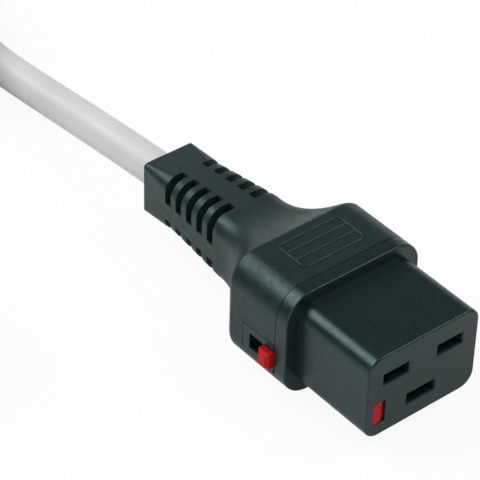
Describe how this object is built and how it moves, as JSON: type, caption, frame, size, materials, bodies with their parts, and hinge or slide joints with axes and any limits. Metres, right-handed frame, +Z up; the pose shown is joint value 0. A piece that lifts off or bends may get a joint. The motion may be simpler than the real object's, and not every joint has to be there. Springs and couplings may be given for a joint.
{
  "type": "appliance power connector lead",
  "caption": "High-current appliance connector with a side release slider and slotted strain relief, on a coiled grey lead with its mating plug.",
  "frame": {"origin": "middle of the grip block's flat underside, which the connector rests on", "axes": "+X is the direction in which the connector is pushed home, +Z is up, and the release button is on the -Y side"},
  "size_m": [0.2449, 0.1097, 0.0256],
  "materials": {
    "hard_black": "satin moulded black nylon",
    "soft_black": "satin black PVC overmould",
    "release_red": "moulded red nylon",
    "sheath_grey": "smooth light grey cable sheath",
    "inner_natural": "natural first-shot plastic",
    "contact_brass": "plain stamped brass",
    "pin_nickel": "nickel-plated brass",
    "spring_steel": "bright spring steel",
    "copper_strand": "bare stranded copper",
    "core_brown": "brown core insulation",
    "core_blue": "blue core insulation",
    "core_green_yellow": "green and yellow core insulation",
    "tie_fabric": "black hook-and-loop strap"
  },
  "bodies": {
    "connector": {"front_insert": "hard_black", "rear_cap": "hard_black", "slider_cover": "hard_black", "slider_spring": "spring_steel", "line_contact": "contact_brass", "neutral_contact": "contact_brass", "earth_contact": "contact_brass", "line_core": "core_brown", "neutral_core": "core_blue", "earth_core": "core_green_yellow", "line_wire": "copper_strand", "neutral_wire": "copper_strand", "earth_wire": "copper_strand", "inner_mould": "inner_natural", "sheath_end": "sheath_grey", "grip": "soft_black", "cord_lead": "sheath_grey", "cord_tail": "sheath_grey", "cord_coil": "sheath_grey", "coil_tie_near": "tie_fabric", "coil_tie_far": "tie_fabric", "plug_grip": "soft_black", "plug_insert": "hard_black", "plug_line_pin": "pin_nickel", "plug_neutral_pin": "pin_nickel", "plug_earth_pin": "pin_nickel"},
    "slider": {"lock_slider": "release_red"},
    "plate": {"lock_plate": "spring_steel"}
  },
  "joints": [
    {"name": "slider_release", "type": "slide", "parent": "connector", "child": "slider", "axis": [-1, 0, 0], "range_m": [0, 0.003], "stiffness_N_per_m": 400, "springref_m": -0.003, "deforming": ["slider_spring"]},
    {"name": "lock_tilt", "type": "hinge", "parent": "connector", "child": "plate", "pos_m": [0.023, 0.0056, 0.0081], "axis": [0, 0, -1], "range_deg": [0, 11.05]}
  ],
  "couplings": [
    {"joint": "lock_tilt", "follows": "slider_release", "rad_per_m": 64}
  ]
}
